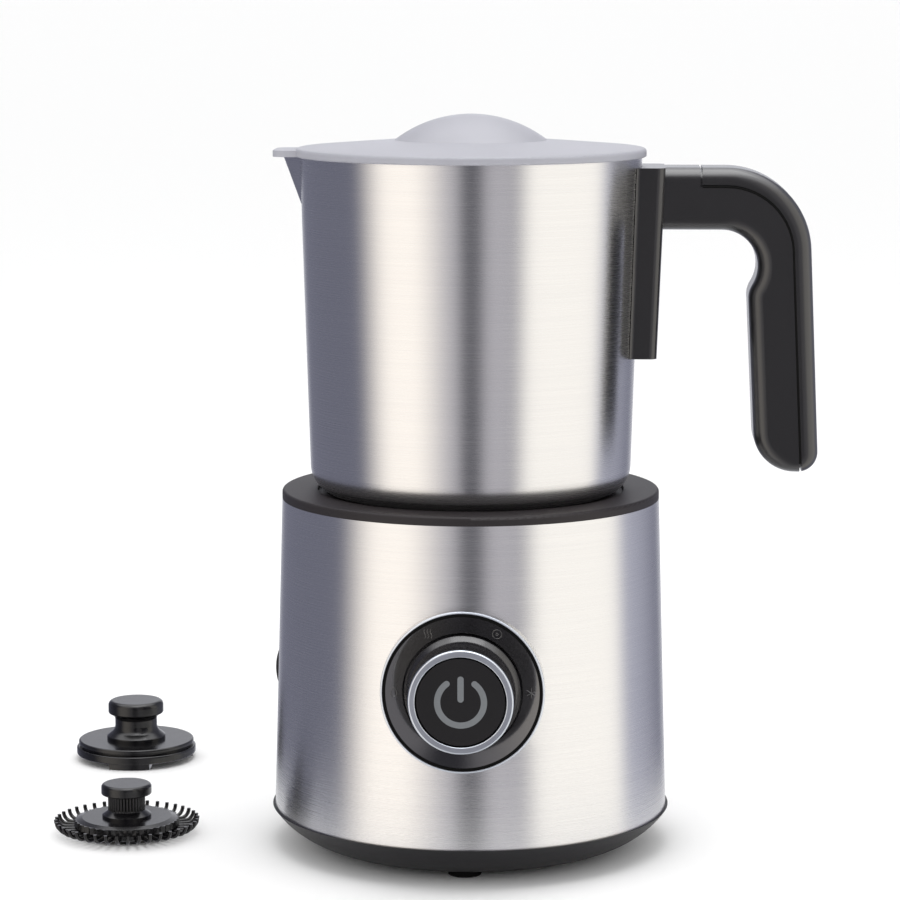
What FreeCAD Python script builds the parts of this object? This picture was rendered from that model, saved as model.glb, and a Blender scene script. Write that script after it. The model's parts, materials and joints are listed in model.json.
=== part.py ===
import FreeCAD, Part
import math
import os

# A milk frother: a heated, magnetically driven base, a lift-off steel jug with a lid,
# and two magnetic whisks laid beside the base.
# Millimetres. The origin is on the counter at the base's axis, +Z is up, the dial
# faces -Y and the jug's handle points to +X.

Vector = FreeCAD.Vector
UP = Vector(0, 0, 1)
CENTRE = Vector(0, 0, 0)
RIGHT = Vector(1, 0, 0)
TOLERANCE = 1e-6

# --- Roundings and gaps shared by small moulded parts ----------------------------------
fine_edge = 0.2
small_edge = 0.4
soft_edge = 0.6
gap = 0.2                       # between assembled pieces

# --- Jug -----------------------------------------------------------------------------
jug_height = 102.0              # flat bottom to rim
jug_base_radius = 48.45         # wall line carried down to the bottom
jug_flare = 3.05                # radius gained from bottom to rim
jug_corner_radius = 8.5
jug_wall = 0.8
jug_floor = 1.2
spout_reach = 5.9               # beak beyond the rim
spout_height = 15.5
spout_half_width = 13.5
spout_tip_radius = 3.2
spindle_radius = 2.0
spindle_length = 9.8
spindle_flange_radius = 5.0
spindle_flange_height = 0.8

# --- Handle, measured outwards from the rim and down from the arm's top -----------------
arm_top_drop = 2.9              # arm's top below the rim
handle_width = 22.0
handle_edge_radius = 4.2
arm_depth = 18.6
grip_outline = (                # (out from the rim, down from the arm's top, rounding)
    (49.5, 0.0, 25.5),
    (53.6, 91.5, 6.0),
    (34.5, 91.5, 12.6),
    (31.8, 37.1, 7.5),
    (42.6, 18.6, 10.8),
)
seam_out = 17.5                 # where the cover strip starts, out from the rim
cover_strip = 5.3               # thickness of the cover strip
seam_gap = 0.6
seam_depth = 1.1
mount_length = 57.0
mount_half_width = 13.0
mount_flank_half_width = 20.0
mount_stand_top = 6.9           # mount's face beyond the wall at its top
mount_stand_bottom = 6.4
mount_corner_radius = 7.0       # lower corners of the flared flanks
mount_edge_radius = 2.4
mount_wall_gap = 0.1            # bonding gap to the jug's wall
mount_depth = 12.0              # how far the blank reaches behind the wall
flank_root = 1.5                # where the flanks start to flare, behind the wall line
flank_toe = 5.3
bracket_thickness = 1.5
bracket_half_width = 6.0
bracket_drop = 11.0             # tongue's middle below the arm's top
bracket_reach = 34.0            # tongue's end out from the rim
bracket_clearance = 0.15
handle_screw_pitch = 6.6
handle_screw_margin = 3.2       # first screw beyond the cover strip's seam
handle_screw_sink = 1.4         # heads below the cover strip
handle_screw_length = 8.0

# --- Lid -----------------------------------------------------------------------------
lid_overhang = 1.3              # flange beyond the rim
lid_flange_height = 2.4
lid_cone_rise = 2.4             # from the flange's top edge to the foot of the dome
lid_dome_radius = 23.0          # dome's footprint
lid_dome_height = 7.8
lid_wall = 1.8
lid_skirt_depth = 8.0
lid_skirt_gap = 1.1             # skirt inside the jug's wall at the rim
lid_skirt_wall = 1.4
seal_gap = 0.35                 # seal inside the jug's wall
seal_height = 3.2
seal_groove = 0.5
lid_tab_reach = 6.4             # tab beyond the flange
lid_tab_half_width = 10.5
lid_tab_height = 1.9
lid_tab_radius = 4.0

# --- Base outline ----------------------------------------------------------------------
base_height = 110.0             # counter to the top cover's rim
seat_inset = 1.95               # seat recess inside the jug's wall line
seat_rim = 10.9                 # top cover's rim around the recess
seat_depth = 1.2
cover_thickness = 2.0
cover_lip = 2.7                 # cover's edge above the steel shell
cover_edge_radius = 0.9
skirt_depth = 6.0
skirt_wall = 2.0
shell_flare = 2.8
shell_sheet = 0.8
shell_clearance = 0.2
tray_height = 12.0
tray_wall = 2.2
tray_lip = 0.75                 # tray proud of the steel
tray_floor_inset = 12.3         # edge of the flat floor inside the shell's radius
tray_knuckle_inset = 4.1
tray_knuckle_drop = 6.7
tray_knuckle_radius = 26.0
tray_tongue_height = 3.0
tray_inner_radius = 12.0        # rounding of the tray's inside at its knuckle
foot_height = 2.2
foot_taper = 0.3
foot_radius = 5.2
foot_recess = 1.0
foot_inset = 18.5
vent_width = 2.6
vent_pitch = 4.6
vent_radius = 16.5
vent_pad_radius = 7.0           # solid middle of the vents, above the middle foot

# --- Chassis, screws ---------------------------------------------------------------------
deck_drop = 12.3                # deck's top below the cover's underside
deck_thickness = 2.5
deck_clearance = 1.5
post_inset = 14.8               # post circle inside the shell's top radius
post_radius = 4.0
boss_radius = 3.5
boss_offset = 1.5               # boss circle outside the seat recess
screw_radius = 1.4
screw_head_radius = 2.7
screw_head_height = 1.2
screw_slot = 0.7
tray_screw_length = 13.0
cover_screw_length = 9.0

# --- Motor and drive magnets -------------------------------------------------------------
motor_radius = 12.5
motor_length = 28.0
motor_wall = 0.8
motor_screw_circle = 8.0
motor_screw_length = 7.0
shaft_radius = 1.5
shaft_clearance = 0.04
shaft_reach = 1.0               # shaft below the can, and its end below the carrier's top
bearing_radius = 3.2
bearing_length = 3.0
armature_radius = 9.0
armature_length = 16.0
armature_slots = 12
armature_slot_depth = 1.2
carrier_radius = 14.0
carrier_thickness = 5.3
carrier_gap = 1.0               # carrier below the cover's underside
carrier_hub_radius = 4.0
carrier_hub_length = 4.5
magnet_circle = 9.0
magnet_radius = 4.0
magnet_depth = 4.0

# --- Heating coil ----------------------------------------------------------------------
coil_wire_radius = 1.1
coil_pitch = 2.3
coil_inset = 7.0                # outermost turn inside the seat recess
coil_gap = 7.0                  # innermost turn outside the magnet carrier
former_thickness = 2.0
former_drop = 3.8               # former's top below the cover's underside
former_rim = 2.5
former_hole_gap = 1.3
former_leg_radius = 2.5
former_leg_inset = 1.0
former_legs = 3
ferrite_width = 7.0
ferrite_thickness = 2.3
ferrite_count = 6
sensor_radius = 1.5
sensor_offset = 3.4             # sensor's centre outside the magnet carrier

# --- Main board and fan --------------------------------------------------------------------
board_height = 24.0
board_thickness = 1.6
board_clearance = 2.0
board_screw_length = 8.0
pillar_radius = 3.0
pillar_inset = 4.0
fan_size = 40.0
fan_depth = 10.0
fan_bore_radius = 18.5
fan_hub_radius = 7.5
fan_stator_radius = 6.6
fan_stator_depth = 2.0
fan_blades = 7
fan_blade_thickness = 1.0
fan_blade_pitch = 40.0          # degrees
fan_tip_gap = 0.8
fan_pin_radius = 1.0
fan_pin_start = 0.2             # pin's ends inside the frame
fan_pin_end = 1.5
fan_play = 0.6                  # impeller above the stator and below the frame's top
fan_spoke_width = 2.0
fan_screw_inset = 4.0
capacitor_radius = 8.0
capacitor_height = 17.0
capacitor_edge_radius = 1.0
capacitor_place = Vector(-14.0, 10.0, 0.0)
choke_radius = 6.5
choke_wire = 2.4
choke_place = Vector(3.0, -14.0, 0.0)
heatsink_size = 16.0
heatsink_height = 15.0
heatsink_fins = 5
heatsink_fin_thickness = 2.0
heatsink_base = 3.0
heatsink_place = Vector(6.0, 2.0, 0.0)

# --- Controls, measured outwards from the base's axis --------------------------------------
control_drop = 48.2             # dial's axis below the shell's top edge
bezel_radius = 23.9
bezel_stand = 2.05              # bezel's face beyond the shell
bezel_bore = 17.3
bezel_dish = 1.3
bezel_spigot_radius = 21.3
bezel_spigot_depth = 10.9
bezel_lip = 2.4
bezel_trim_width = 0.7
bezel_trim_stand = 0.35
dial_radius = 15.2
dial_length = 13.0              # dial's face beyond the bezel's
dial_root_radius = 16.9
dial_root_length = 2.2
dial_flange_radius = 18.6
dial_flange_thickness = 2.2
dial_flange_gap = 0.5
dial_trim_width = 2.05
dial_trim_depth = 1.4
dial_edge_radius = 0.6
dial_magnet_radius = 1.2
dial_magnet_depth = 1.2
guide_radius = 12.6
guide_wall = 1.6
guide_clearance = 0.05
guide_setback = 3.9             # sleeve's end behind the dial's face
bracket_plate_radius = 20.8
bracket_plate_thickness = 2.0
bracket_step_radius = 18.4
bracket_step_height = 4.2
button_gap = 0.35
button_setback = 0.4
button_thickness = 2.0
button_stroke = 1.2
button_pocket_depth = 4.4       # room for the button's cap in the dial's face
button_stem_radius = 2.0
plunger_length = 8.0
plunger_wall = 1.4
symbol_radius = 6.7
symbol_stroke = 1.8
symbol_gap = 36.5               # degrees each side of the top
symbol_bar = 7.6
symbol_depth = 0.4
dial_fillet = 1.5               # where the dial narrows beyond its root
switch_size = 6.0
switch_height = 4.0
switch_cap_radius = 1.7
switch_cap_height = 1.8
switch_clearance = 0.3
control_board_radius = 17.0
spring_radius = 4.6
spring_wire = 0.45
spring_turns = 5
spring_seat_gap = 0.2

# --- Whisk dock on the base's side, cord inlet at its back ---------------------------------
dock_azimuth = 97.0             # degrees from the dial towards the left
dock_drop = 54.8
dock_radius = 5.8
dock_stand = 1.5
dock_stem_radius = 3.6
dock_stem_length = 7.0
dock_magnet_length = 3.0
dock_crown = 0.6                # flat middle of the cap, as a share of its radius
dock_crown_radius = 5.0
collar_sink = 1.0               # how far a collar on the shell reaches into it
gland_azimuth = 180.0
gland_height = 21.0
gland_radius = 6.0
gland_stand = 1.6
gland_neck_radius = 4.9
gland_neck_length = 8.0
inlet_radius = 3.3

# --- Whisks ----------------------------------------------------------------------------
froth_place = Vector(-107.0, 0.0, 0.0)
stir_place = Vector(-118.0, 100.0, 0.0)
bore_clearance = 0.05
bush_wall = 1.0
bush_length = 12.0
whisk_magnet_radius = 3.0
whisk_magnet_depth = 2.0
whisk_magnet_circle = 9.0
whisk_magnet_cover = 0.5        # plastic below the frothing whisk's magnets
bore_headroom = 0.3             # above the bush, inside the cap
froth_disc_radius = 16.3
froth_disc_bottom = 2.9
froth_disc_top = 5.6
froth_hub_radius = 13.0
froth_teeth = 40
froth_tooth_depth = 0.7
froth_shoulder = 0.6            # height and width of the disc's sloped shoulder
froth_shoulder_width = 1.8
finger_ring_drop = 0.8          # ring's underside below the fingers' middle
finger_ring_overlap = 1.0
finger_radius = 0.55
finger_height = 2.1             # finger's middle above the counter
finger_bend_radius = 2.8
finger_tip = 22.05
finger_rise = 3.0
finger_root = 13.6
froth_cap_radius = 7.8
froth_cap_neck = 5.3
froth_cap_flare = 7.6
froth_cap_height = 10.5
froth_ribs = 36
rib_depth = 0.4
froth_cap_lip = 0.8             # height of the cap's foot lip
froth_cap_cone = 2.4
froth_head_height = 3.2
froth_head_taper = 0.8
froth_head_radius = 1.1
stir_upper_radius = 19.5
stir_lower_radius = 20.2
stir_lobe_height = 2.0
stir_lower_thickness = 2.7
stir_groove = 0.8
stir_upper_thickness = 1.4
stir_lobe_width = 13.6
stir_lobes = 3
stir_cap_radius = 9.35
stir_cap_neck = 7.1
stir_cap_flare = 9.9
stir_cap_height = 13.3
stir_neck_inset = 1.2           # groove's depth below the upper disc
stir_lobe_reach = 9.0
stir_lobe_margin = 1.0
stir_hub_wall = 2.5
stir_lobe_turn = 30.0
stir_cap_lip = 1.2
stir_cap_cone = 3.4
stir_head_height = 4.2
stir_head_taper = 1.2

# --- Places worked out from the sizes above --------------------------------------------
jug_rim_radius = jug_base_radius + jug_flare
seat_radius = jug_base_radius - seat_inset
shell_top_radius = seat_radius + seat_rim
shell_bottom_radius = shell_top_radius + shell_flare
shell_top = base_height - cover_lip
seat_height = base_height - seat_depth
cover_underside = seat_height - cover_thickness
floor_top = foot_height + tray_wall
deck_top = cover_underside - deck_drop
deck_bottom = deck_top - deck_thickness
post_circle = shell_top_radius - post_inset
boss_circle = seat_radius + boss_offset
board_radius = post_circle - post_radius - board_clearance
pillar_circle = board_radius - pillar_inset
jug_rim = seat_height + jug_height
arm_top = jug_rim - arm_top_drop
control_height = shell_top - control_drop
dock_height = shell_top - dock_drop
coil_inner = carrier_radius + coil_gap
coil_outer = seat_radius - coil_inset
former_top = cover_underside - former_drop
former_bottom = former_top - former_thickness


def shell_radius(height):
    """Outside radius of the tapered steel shell at a height above the counter."""
    return shell_bottom_radius - shell_flare * (height - tray_height) / (shell_top - tray_height)


def jug_radius(height):
    """Outside radius of the jug's wall at a height above the jug's bottom."""
    return jug_base_radius + jug_flare * height / jug_height


bezel_face = shell_radius(control_height) + bezel_stand
bezel_back = bezel_face - bezel_spigot_depth
dial_face = bezel_face + dial_length
lip_back = bezel_face - bezel_dish - bezel_lip
guide_bore = guide_radius - guide_wall
button_face = dial_face - button_setback
button_back = button_face - button_thickness
plunger_back = button_back - plunger_length
switch_top = bezel_back + switch_height - bracket_plate_thickness + switch_cap_height


# --- Shape helpers ---------------------------------------------------------------------

def rounded_wire(corners):
    """Closed wire in the XZ plane. A corner is (x, z) or (x, z, radius of its rounding)."""
    points = [Vector(corner[0], 0, corner[1]) for corner in corners]
    bends = []
    for index, corner in enumerate(corners):
        here = points[index]
        radius = corner[2] if len(corner) > 2 else 0
        if radius == 0:
            bends.append((here, None, here))
            continue
        back = (points[index - 1] - here).normalize()
        ahead = (points[(index + 1) % len(points)] - here).normalize()
        half_angle = back.getAngle(ahead) / 2
        reach = radius / math.tan(half_angle)
        inwards = (back + ahead).normalize() * (radius / math.sin(half_angle) - radius)
        bends.append((here + back * reach, here + inwards, here + ahead * reach))
    edges = []
    for index, (start, middle, end) in enumerate(bends):
        if middle is not None:
            edges.append(Part.Arc(start, middle, end).toShape())
        following = bends[(index + 1) % len(bends)][0]
        if end.distanceToPoint(following) > TOLERANCE:
            edges.append(Part.LineSegment(end, following).toShape())
    return Part.Wire(edges)


def turned(corners):
    """Solid of revolution about Z of a rounded outline in radius and height."""
    return Part.Face(rounded_wire(corners)).revolve(CENTRE, UP, 360)


def slab(corners, half_width):
    """Rounded outline in X and Z, as thick in Y as two half widths."""
    blank = Part.Face(rounded_wire(corners)).extrude(Vector(0, 2 * half_width, 0))
    return blank.translated(Vector(0, -half_width, 0))


def drum(radius, bottom, top, place=CENTRE):
    return Part.makeCylinder(radius, top - bottom, place + Vector(0, 0, bottom))


def tube(outer, inner, bottom, top, place=CENTRE):
    return drum(outer, bottom, top, place).cut(drum(inner, bottom, top, place))


def block(low, high):
    size = [high[axis] - low[axis] for axis in range(3)]
    return Part.makeBox(*size, Vector(*low))


def star(outer, inner, points, bottom, top):
    """Prism with as many ridges as points, for a ribbed or toothed edge."""
    corners = []
    for index in range(2 * points):
        radius = outer if index % 2 == 0 else inner
        angle = math.pi * index / points
        corners.append(Vector(radius * math.cos(angle), radius * math.sin(angle), bottom))
    corners.append(corners[0])
    return Part.Face(Part.makePolygon(corners)).extrude(Vector(0, 0, top - bottom))


def around(shape, count, start=0.0):
    """Copies of a shape at equal steps about the Z axis."""
    return [shape.rotated(CENTRE, UP, start + 360 * index / count) for index in range(count)]


def polar(radius, degrees):
    angle = math.radians(degrees)
    return Vector(radius * math.cos(angle), radius * math.sin(angle), 0)


def joined(first, others):
    return first.multiFuse(others).removeSplitter()


def facing_out(shape, height, azimuth=0.0):
    """Turn a shape made along +Z so that it points out of the base at a height."""
    shape = shape.rotated(CENTRE, RIGHT, 90)
    return shape.rotated(CENTRE, UP, -azimuth).translated(Vector(0, 0, height))


def on_jug(shape):
    return shape.translated(Vector(0, 0, seat_height))


def screw(length, head_top):
    """Pan-head screw along Z, head up, with a cross recess."""
    head_bottom = head_top - screw_head_height
    body = drum(screw_head_radius, head_bottom, head_top)
    body = body.fuse(drum(screw_radius, head_bottom - length, head_bottom))
    arm = screw_head_radius * 0.65
    half = screw_slot / 2
    recess_bottom = head_top - screw_slot
    body = body.cut(block((-arm, -half, recess_bottom), (arm, half, head_top)))
    return body.cut(block((-half, -arm, recess_bottom), (half, arm, head_top)))


def upside_down(shape):
    return shape.rotated(CENTRE, RIGHT, 180)


# --- Base casing -----------------------------------------------------------------------

def base_feet():
    circle = shell_bottom_radius - foot_inset
    top = foot_height + foot_recess
    foot = turned([(0, 0), (foot_radius - foot_taper, 0, small_edge), (foot_radius, top), (0, top)])
    return Part.makeCompound([foot] + around(foot.translated(polar(circle, 0)), 4))


def bottom_tray():
    outer = shell_bottom_radius
    tongue = outer - shell_sheet - shell_clearance
    tray = turned([
        (0, foot_height),
        (outer - tray_floor_inset, foot_height),
        (outer - tray_knuckle_inset, tray_height - tray_knuckle_drop, tray_knuckle_radius),
        (outer + tray_lip, tray_height),
        (tongue, tray_height),
        (tongue, tray_height + tray_tongue_height),
        (tongue - tray_wall, tray_height + tray_tongue_height),
        (tongue - tray_wall, tray_height),
        (outer - tray_knuckle_inset - tray_wall / 2, tray_height - tray_knuckle_drop + tray_wall,
         tray_inner_radius),
        (outer - tray_floor_inset - tray_wall / 2, floor_top),
        (0, floor_top),
    ])
    pillar = drum(pillar_radius, floor_top, board_height).translated(polar(pillar_circle, 0))
    tray = joined(tray, around(pillar, 4))
    pilot = drum(screw_radius, floor_top, board_height).translated(polar(pillar_circle, 0))
    foot_circle = shell_bottom_radius - foot_inset
    pocket = drum(foot_radius, foot_height, foot_height + foot_recess)
    hole = drum(screw_radius, foot_height, floor_top)
    head_bore = screw_head_radius + shell_clearance
    hole = hole.fuse(drum(head_bore, foot_height, foot_height + screw_head_height))
    cuts = around(pilot, 4)
    cuts += around(pocket.translated(polar(foot_circle, 0)), 4)
    cuts += around(hole.translated(polar(post_circle, 0)), 4, 45)
    rows = int(vent_radius / vent_pitch)
    for row in range(-rows, rows + 1):
        middle = row * vent_pitch
        half = math.sqrt(vent_radius ** 2 - middle ** 2)
        cuts.append(block((-half, middle - vent_width / 2, foot_height),
                          (half, middle + vent_width / 2, floor_top)))
    rib = block((-vent_width / 2, -vent_radius, foot_height), (vent_width / 2, vent_radius, floor_top))
    pad = drum(vent_pad_radius, foot_height, floor_top)
    return tray.cut(cuts).fuse([rib, pad]).cut(pocket).removeSplitter()


def tray_screws():
    fastener = upside_down(screw(tray_screw_length, 0)).translated(Vector(0, 0, foot_height))
    return Part.makeCompound(around(fastener.translated(polar(post_circle, 0)), 4, 45))


def shell_cone(grow):
    """Filled cone of the shell's outside, made larger or smaller all round."""
    bottom = shell_bottom_radius + grow
    top = shell_top_radius + grow
    return Part.makeCone(bottom, top, shell_top - tray_height, Vector(0, 0, tray_height))


def base_shell():
    shell = shell_cone(0).cut(shell_cone(-shell_sheet))
    reach = shell_bottom_radius + 10
    control_hole = drum(bezel_spigot_radius + shell_clearance, bezel_back, reach)
    dock_hole = drum(dock_stem_radius + shell_clearance, 0, reach)
    gland_hole = drum(gland_neck_radius + shell_clearance, 0, reach)
    return shell.cut([
        facing_out(control_hole, control_height),
        facing_out(dock_hole, dock_height, dock_azimuth),
        facing_out(gland_hole, gland_height, gland_azimuth),
    ])


def top_cover():
    skirt_radius = shell_top_radius - shell_sheet - shell_clearance
    cover = turned([
        (0, cover_underside),
        (skirt_radius - skirt_wall, cover_underside),
        (skirt_radius - skirt_wall, shell_top - skirt_depth),
        (skirt_radius, shell_top - skirt_depth),
        (skirt_radius, shell_top),
        (shell_top_radius, shell_top),
        (shell_top_radius, base_height, cover_edge_radius),
        (seat_radius, base_height, small_edge),
        (seat_radius, seat_height, small_edge),
        (0, seat_height),
    ])
    boss = drum(boss_radius, deck_top, cover_underside).translated(polar(boss_circle, 0))
    pilot = drum(screw_radius, deck_top, cover_underside - screw_radius).translated(polar(boss_circle, 0))
    return joined(cover, around(boss, 4)).cut(around(pilot, 4))


def cover_screws():
    head = Vector(0, 0, deck_bottom - screw_head_height)
    fastener = upside_down(screw(cover_screw_length, 0)).translated(head)
    return Part.makeCompound(around(fastener.translated(polar(boss_circle, 0)), 4))


def chassis():
    radius = shell_radius(deck_top) - shell_sheet - deck_clearance
    deck = drum(radius, deck_bottom, deck_top)
    post = drum(post_radius, floor_top, deck_bottom).translated(polar(post_circle, 0))
    deck = joined(deck, around(post, 4, 45))
    post_pilot = drum(screw_radius, floor_top, floor_top + tray_screw_length)
    cover_hole = drum(screw_radius, deck_bottom, deck_top)
    motor_hole = drum(screw_radius, deck_bottom, deck_top)
    cuts = around(post_pilot.translated(polar(post_circle, 0)), 4, 45)
    cuts += around(cover_hole.translated(polar(boss_circle, 0)), 4)
    cuts += around(motor_hole.translated(polar(motor_screw_circle, 0)), 2)
    cuts.append(drum(bearing_radius + shell_clearance, deck_bottom, deck_top))
    return deck.cut(cuts)


def cord_gland():
    shell = shell_radius(gland_height)
    root = shell - collar_sink
    collar = turned([
        (inlet_radius, shell - gland_neck_length),
        (gland_neck_radius, shell - gland_neck_length),
        (gland_neck_radius, root),
        (gland_radius, root),
        (gland_radius, shell + gland_stand, soft_edge),
        (inlet_radius, shell + gland_stand, small_edge),
    ])
    collar = facing_out(collar, gland_height, gland_azimuth)
    flange = tube(gland_radius, gland_neck_radius, root, shell + collar_sink)
    flange = facing_out(flange, gland_height, gland_azimuth)
    return collar.cut(flange.common(shell_cone(0)))


def dock_cap():
    shell = shell_radius(dock_height)
    dome = turned([
        (0, shell - dock_stem_length + dock_magnet_length),
        (dock_stem_radius, shell - dock_stem_length + dock_magnet_length),
        (dock_stem_radius, shell - collar_sink),
        (dock_radius, shell - collar_sink),
        (dock_radius, shell + dock_stand / 2, small_edge),
        (dock_radius * dock_crown, shell + dock_stand, dock_crown_radius),
        (0, shell + dock_stand),
    ])
    dome = facing_out(dome, dock_height, dock_azimuth)
    rim = tube(dock_radius, dock_stem_radius, shell - collar_sink, shell + collar_sink)
    rim = facing_out(rim, dock_height, dock_azimuth)
    return dome.cut(rim.common(shell_cone(0)))


def dock_magnet():
    back = shell_radius(dock_height) - dock_stem_length
    return facing_out(drum(dock_stem_radius, back, back + dock_magnet_length), dock_height, dock_azimuth)


# --- Controls --------------------------------------------------------------------------

def control_bezel():
    trim_inner = bezel_radius - bezel_trim_width
    ring = turned([
        (bezel_bore, lip_back),
        (dial_flange_radius + dial_flange_gap, lip_back),
        (dial_flange_radius + dial_flange_gap, bezel_back),
        (bezel_radius, bezel_back),
        (bezel_radius, bezel_face - bezel_trim_width),
        (trim_inner, bezel_face - bezel_trim_width),
        (trim_inner, bezel_face, small_edge),
        (bezel_bore, bezel_face - bezel_dish, small_edge),
    ])
    ring = facing_out(ring, control_height)
    flange = facing_out(tube(bezel_radius, bezel_spigot_radius, bezel_back, bezel_face), control_height)
    return ring.cut(flange.common(shell_cone(0).fuse(drum(shell_top_radius, 0, base_height))))


def bezel_trim():
    inner = bezel_radius - bezel_trim_width
    ring = turned([
        (inner, bezel_face - bezel_trim_width),
        (bezel_radius, bezel_face - bezel_trim_width),
        (bezel_radius, bezel_face, fine_edge),
        (inner, bezel_face + bezel_trim_stand, fine_edge),
    ])
    return facing_out(ring, control_height)


def control_bracket():
    plate_back = bezel_back - bracket_plate_thickness
    bracket = turned([
        (guide_bore, plate_back),
        (bracket_plate_radius, plate_back),
        (bracket_plate_radius, bezel_back),
        (bracket_step_radius, bezel_back),
        (bracket_step_radius, bezel_back + bracket_step_height),
        (guide_radius, bezel_back + bracket_step_height),
        (guide_radius, dial_face - guide_setback),
        (guide_bore, dial_face - guide_setback),
    ])
    floor = drum(guide_bore, plate_back, bezel_back)
    half = switch_size / 2 + switch_clearance
    window = block((-half, -half, plate_back), (half, half, bezel_back))
    bracket = bracket.fuse(floor.cut(window)).removeSplitter()
    return facing_out(bracket, control_height)


def control_board():
    top = bezel_back - bracket_plate_thickness
    return facing_out(drum(control_board_radius, top - board_thickness, top), control_height)


def tact_switch():
    bottom = bezel_back - bracket_plate_thickness
    half = switch_size / 2
    body = block((-half, -half, bottom), (half, half, bottom + switch_height))
    cap = drum(switch_cap_radius, bottom + switch_height, switch_top)
    return facing_out(body.fuse(cap), control_height)


def dial_knob():
    flange_top = lip_back - dial_flange_gap
    flange_bottom = flange_top - dial_flange_thickness
    bore = guide_radius + guide_clearance
    trim_bottom = dial_face - dial_trim_depth
    pocket_bottom = dial_face - button_pocket_depth
    trim_inner = dial_radius - dial_trim_width
    knob = turned([
        (bore, flange_bottom),
        (dial_flange_radius, flange_bottom),
        (dial_flange_radius, flange_top),
        (dial_root_radius, flange_top),
        (dial_root_radius, bezel_face + gap, small_edge),
        (dial_radius, bezel_face + dial_root_length, dial_fillet),
        (dial_radius, trim_bottom),
        (trim_inner, trim_bottom),
        (trim_inner, pocket_bottom),
        (bore, pocket_bottom),
    ])
    pocket = drum(dial_magnet_radius, flange_bottom, flange_bottom + dial_magnet_depth)
    middle = (bore + dial_flange_radius) / 2
    return facing_out(knob.cut(pocket.translated(Vector(0, middle, 0))), control_height)


def dial_trim():
    bottom = dial_face - dial_trim_depth
    ring = turned([
        (dial_radius - dial_trim_width, bottom),
        (dial_radius, bottom),
        (dial_radius, dial_face, dial_edge_radius),
        (dial_radius - dial_trim_width, dial_face, dial_edge_radius / 2),
    ])
    return facing_out(ring, control_height)


def dial_magnet():
    bottom = lip_back - dial_flange_gap - dial_flange_thickness
    middle = (guide_radius + guide_clearance + dial_flange_radius) / 2
    magnet = drum(dial_magnet_radius, bottom, bottom + dial_magnet_depth)
    return facing_out(magnet.translated(Vector(0, middle, 0)), control_height)


def symbol_solid(bottom, top):
    """Standby symbol: an open ring with a short bar standing in its gap."""
    half = symbol_stroke / 2
    ring = tube(symbol_radius + half, symbol_radius - half, bottom, top)
    far = 2 * symbol_radius
    spread = far * math.tan(math.radians(symbol_gap))
    wedge_corners = [Vector(0, 0, bottom), Vector(-spread, far, bottom), Vector(spread, far, bottom)]
    wedge_corners.append(wedge_corners[0])
    wedge = Part.Face(Part.makePolygon(wedge_corners)).extrude(Vector(0, 0, top - bottom))
    ring = ring.cut(wedge)
    for side in (-1, 1):
        end = polar(symbol_radius, 90 + side * symbol_gap)
        ring = ring.fuse(drum(half, bottom, top, end))
    bar_top = symbol_radius + half
    bar = block((-half, bar_top - symbol_bar + half, bottom), (half, bar_top - half, top))
    for middle in (bar_top - half, bar_top - symbol_bar + half):
        bar = bar.fuse(drum(half, bottom, top, Vector(0, middle, 0)))
    return Part.makeCompound([ring, bar.removeSplitter()])


def power_button():
    cap_radius = dial_radius - dial_trim_width - button_gap
    plunger_radius = guide_bore - guide_clearance
    cap = turned([
        (0, button_back),
        (cap_radius, button_back),
        (cap_radius, button_face, small_edge),
        (0, button_face),
    ])
    skirt = tube(plunger_radius, plunger_radius - plunger_wall, plunger_back, button_back)
    stem = drum(button_stem_radius, switch_top + button_stroke + spring_seat_gap, button_back)
    button = cap.fuse([skirt, stem]).cut(symbol_solid(button_face - symbol_depth, button_face))
    return facing_out(button, control_height)


def power_symbol():
    return facing_out(symbol_solid(button_face - symbol_depth, button_face), control_height)


def button_spring():
    bottom = bezel_back + spring_wire + spring_seat_gap
    height = button_back - spring_wire - spring_seat_gap - bottom
    path = Part.makeHelix(height / spring_turns, height, spring_radius)
    section = Part.Wire(Part.makeCircle(spring_wire, Vector(spring_radius, 0, 0), Vector(0, 1, 0)))
    spring = Part.Wire(path).makePipeShell([section], True, True)
    return facing_out(spring.translated(Vector(0, 0, bottom)), control_height)


# --- Motor, magnets and coil ----------------------------------------------------------------

def motor_can():
    bottom = deck_bottom - motor_length
    can = drum(motor_radius, bottom, deck_bottom)
    can = can.cut(drum(motor_radius - motor_wall, bottom + motor_wall, deck_bottom - motor_wall))
    screw_hole = drum(screw_radius, deck_bottom - motor_wall, deck_bottom)
    holes = around(screw_hole.translated(polar(motor_screw_circle, 0)), 2)
    holes.append(drum(bearing_radius, bottom, deck_bottom))
    return can.cut(holes)


def motor_bearings():
    bottom = deck_bottom - motor_length
    bore = shaft_radius + shaft_clearance
    lower = tube(bearing_radius, bore, bottom, bottom + bearing_length)
    upper = tube(bearing_radius, bore, deck_bottom - bearing_length, deck_bottom)
    return Part.makeCompound([lower, upper])


def motor_screws():
    fastener = screw(motor_screw_length, deck_top + screw_head_height)
    return Part.makeCompound(around(fastener.translated(polar(motor_screw_circle, 0)), 2))


def motor_shaft():
    bottom = deck_bottom - motor_length - shaft_reach
    return drum(shaft_radius, bottom, cover_underside - carrier_gap - shaft_reach)


def motor_armature():
    middle = deck_bottom - motor_length / 2
    bottom = middle - armature_length / 2
    valley = armature_radius - armature_slot_depth
    core = star(armature_radius, valley, armature_slots, bottom, bottom + armature_length)
    return core.cut(drum(shaft_radius, 0, deck_top))


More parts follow.
